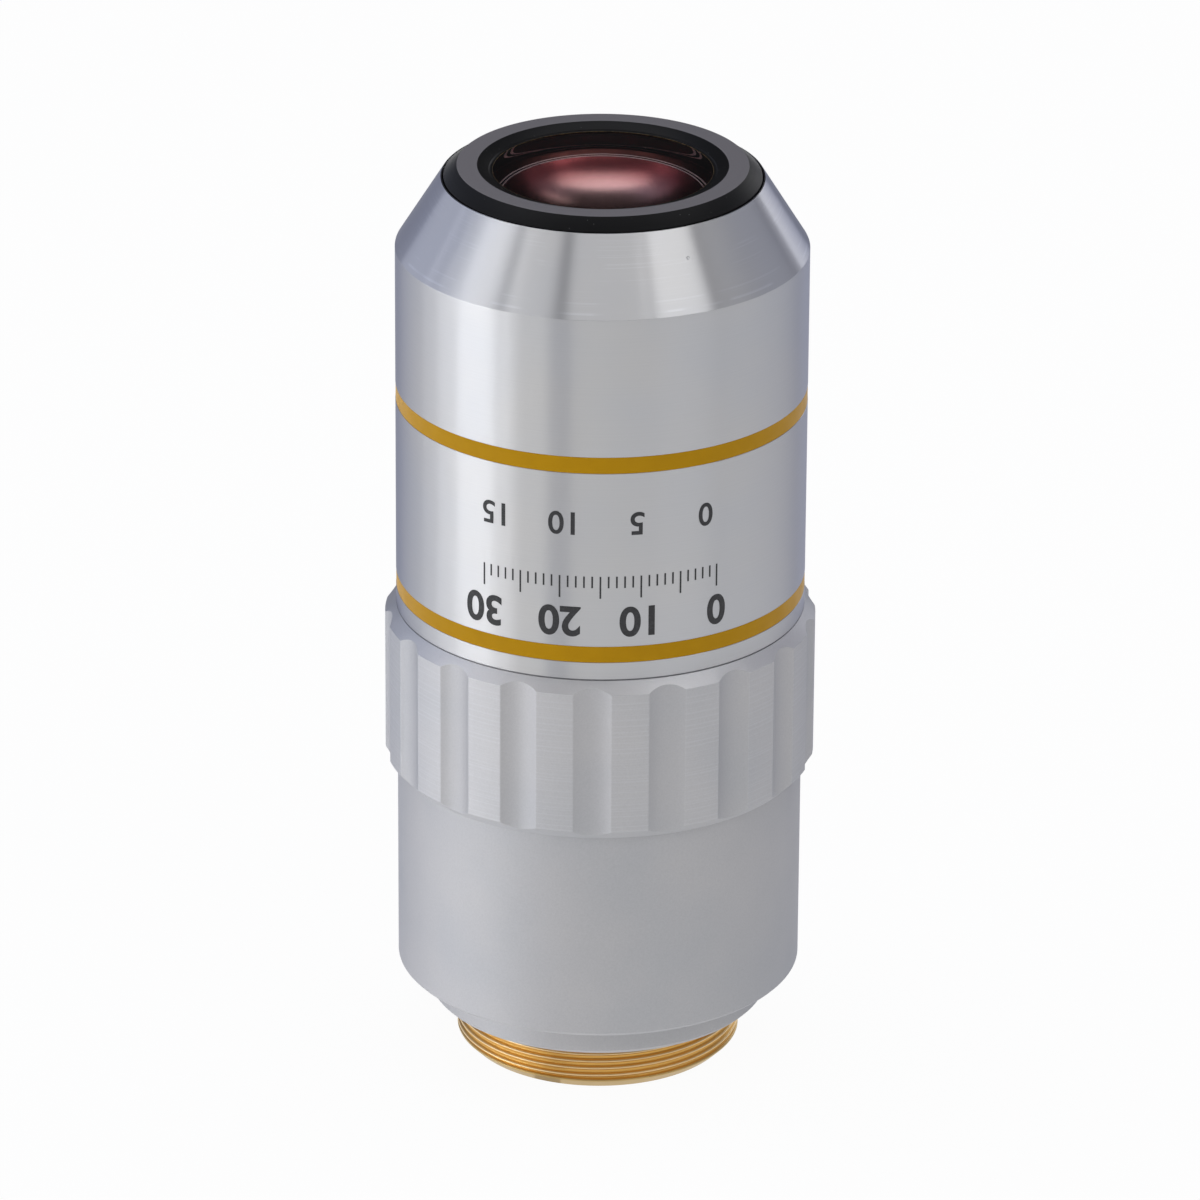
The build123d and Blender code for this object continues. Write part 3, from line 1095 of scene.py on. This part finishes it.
def makeStudio(look):
    # neutral in front, cooler to both sides, and white where the camera looks straight at it
    finish = Finish("studio", bpy.data.worlds)
    direction = finish.node("ShaderNodeTexCoord", output="Generated")
    x, y = finish.axes(direction, "X", "Y")
    sides = finish.blend(finish.step(x, *look["sideTurn"]), look["right"], look["left"])
    room = finish.blend(finish.step(y, *look["frontTurn"]), look["front"], sides)
    tilt = radians(look["cardElevation"])
    facing = finish.node("ShaderNodeVectorMath", {"operation": "DOT_PRODUCT"},
                         {0: direction, 1: (0, cos(tilt), sin(tilt))}, "Value")
    card = finish.step(facing, *[cos(radians(angle)) for angle in look["cardAngles"]])
    shade = finish.node("ShaderNodeBackground", {}, {"Color": finish.blend(card, room, look["card"])})
    bright = finish.node("ShaderNodeBackground", {}, {"Color": white})
    camera = finish.node("ShaderNodeLightPath")
    mixed = finish.node("ShaderNodeMixShader", {}, {0: camera, 1: shade, 2: bright})
    finish.node("ShaderNodeOutputWorld", {}, {"Surface": mixed})
    bpy.context.scene.world = finish.owner


makeStudio(studioLook)

# azimuth and elevation in degrees, with azimuth 0 on the printed side and 90 on the right of the
# picture, then distance, width and height in metres, brightness and colour
cool = (0.93, 0.95, 1.0)
plain = (1, 1, 1)
lamps = {
    "leftCore": (-71, 1.5, 0.9, 0.38, 0.19, 3.35, cool),
    "leftWide": (-74, 1.5, 0.95, 0.84, 0.20, 2.4, cool),
    "leftSoft": (-78, 1.5, 1.0, 1.26, 0.20, 2.1, cool),
    "leftWing": (-42, 24, 1.0, 0.44, 0.64, 0.9, plain),
    "leftHigh": (-84, 37, 1.0, 0.44, 0.32, 0.88, cool),
    "backWing": (-124, 6, 1.0, 0.55, 0.40, 0.36, cool),
    "topBox": (180, 76, 0.9, 1.3, 0.5, 1.5, plain),
    "frontBox": (4, 47, 1.1, 0.74, 0.50, 0.9, plain),
    "rightBox": (52, 46, 1.0, 0.50, 0.40, 1.8, plain),
    "rightFill": (100, 21, 1.0, 1.0, 0.50, 0.21, cool),
    "backRight": (146, 12, 1.0, 0.36, 0.50, 1.1, plain),
}
objectMiddle = Vector((0, 0, 0.04))


def placeLamp(name, azimuth, elevation, away, wide, high, glow, colour):
    light = bpy.data.lights.new(name, "AREA")
    light.shape = "RECTANGLE"
    light.size = wide
    light.size_y = high
    light.energy = glow * pi * wide * high
    light.color = colour
    obj = bpy.data.objects.new(name, light)
    bpy.context.scene.collection.objects.link(obj)
    turn, rise = radians(azimuth), radians(elevation)
    out = Vector((sin(turn) * cos(rise), -cos(turn) * cos(rise), sin(rise)))
    obj.location = objectMiddle + out * away
    obj.rotation_euler = out.to_track_quat("Z", "Y").to_euler()
    obj.visible_camera = False


for lampName, lampLook in lamps.items():
    placeLamp(lampName, *lampLook)

view = {
    "target": (-0.000028, 0, 0.0381),
    "away": 0.7624,
    "elevation": 23.453,
    "roll": 0.361,
    "lens": 253.65,
    "sensor": 36,
    "nearest": 0.01,
}


def placeCamera(v):
    camera = bpy.data.cameras.new("camera")
    camera.lens = v["lens"]
    camera.sensor_width = v["sensor"]
    camera.clip_start = v["nearest"]
    obj = bpy.data.objects.new("camera", camera)
    bpy.context.scene.collection.objects.link(obj)
    tilt, roll = radians(v["elevation"]), radians(v["roll"])
    back = Vector((0, -cos(tilt), sin(tilt)))
    up = Vector((0, sin(tilt), cos(tilt)))
    right = Vector((1, 0, 0))
    across = right * cos(roll) + up * sin(roll)
    upright = up * cos(roll) - right * sin(roll)
    turn = Matrix((across, upright, back)).transposed().to_4x4()
    obj.matrix_world = Matrix.Translation(Vector(v["target"]) + back * v["away"]) @ turn
    bpy.context.scene.camera = obj


placeCamera(view)
bpy.context.scene.view_settings.view_transform = "Standard"
print("floor, lamps and camera placed")
